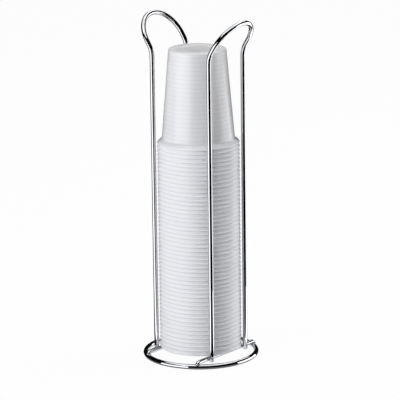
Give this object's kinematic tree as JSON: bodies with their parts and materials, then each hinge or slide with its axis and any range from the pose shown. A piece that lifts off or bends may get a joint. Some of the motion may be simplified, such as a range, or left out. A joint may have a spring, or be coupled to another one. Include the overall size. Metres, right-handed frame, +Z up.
{
  "type": "cup dispenser",
  "caption": "Countertop cup dispenser: a chrome wire stand with a ring base and tall hoops that lean out at the top, holding a column of nested, slightly translucent plastic cups, mouths down.",
  "frame": {"origin": "on the table at the centre of the base ring", "axes": "+Z up along the column of cups; the cross bars run along Y and the hoops stand on the -X (left) and +X (right) sides"},
  "size_m": [0.1, 0.0992, 0.2974],
  "materials": {
    "chrome_wire": "bright chrome plating on round steel wire",
    "cup_plastic": "thin semi-gloss white plastic, slightly translucent"
  },
  "bodies": {
    "stand": {"base_ring": "chrome_wire", "cross_bar_left": "chrome_wire", "cross_bar_right": "chrome_wire", "hoop_left": "chrome_wire", "hoop_right": "chrome_wire"},
    "cup_stack": {"cup_01": "cup_plastic", "cup_02": "cup_plastic", "cup_03": "cup_plastic", "cup_04": "cup_plastic", "cup_05": "cup_plastic", "cup_06": "cup_plastic", "cup_07": "cup_plastic", "cup_08": "cup_plastic", "cup_09": "cup_plastic", "cup_10": "cup_plastic", "cup_11": "cup_plastic", "cup_12": "cup_plastic", "cup_13": "cup_plastic", "cup_14": "cup_plastic", "cup_15": "cup_plastic", "cup_16": "cup_plastic", "cup_17": "cup_plastic", "cup_18": "cup_plastic", "cup_19": "cup_plastic", "cup_20": "cup_plastic", "cup_21": "cup_plastic", "cup_22": "cup_plastic", "cup_23": "cup_plastic", "cup_24": "cup_plastic", "cup_25": "cup_plastic", "cup_26": "cup_plastic", "cup_27": "cup_plastic", "cup_28": "cup_plastic", "cup_29": "cup_plastic", "cup_30": "cup_plastic", "cup_31": "cup_plastic", "cup_32": "cup_plastic", "cup_33": "cup_plastic", "cup_34": "cup_plastic", "cup_35": "cup_plastic", "cup_36": "cup_plastic", "cup_37": "cup_plastic", "cup_38": "cup_plastic", "cup_39": "cup_plastic", "cup_40": "cup_plastic", "cup_41": "cup_plastic", "cup_42": "cup_plastic", "cup_43": "cup_plastic", "cup_44": "cup_plastic", "cup_45": "cup_plastic", "cup_46": "cup_plastic", "cup_47": "cup_plastic"},
    "cup_48": {"cup_48": "cup_plastic"},
    "cup_49": {"cup_49": "cup_plastic"},
    "cup_50": {"cup_50": "cup_plastic"}
  },
  "joints": [
    {"name": "stack_lift", "type": "slide", "parent": "stand", "child": "cup_stack", "axis": [0, 0, 1], "range_m": [0, 0.295]},
    {"name": "cup_48_lift", "type": "slide", "parent": "cup_stack", "child": "cup_48", "axis": [0, 0, 1], "range_m": [0, 0.12]},
    {"name": "cup_49_lift", "type": "slide", "parent": "cup_48", "child": "cup_49", "axis": [0, 0, 1], "range_m": [0, 0.12]},
    {"name": "cup_50_lift", "type": "slide", "parent": "cup_49", "child": "cup_50", "axis": [0, 0, 1], "range_m": [0, 0.12]}
  ]
}
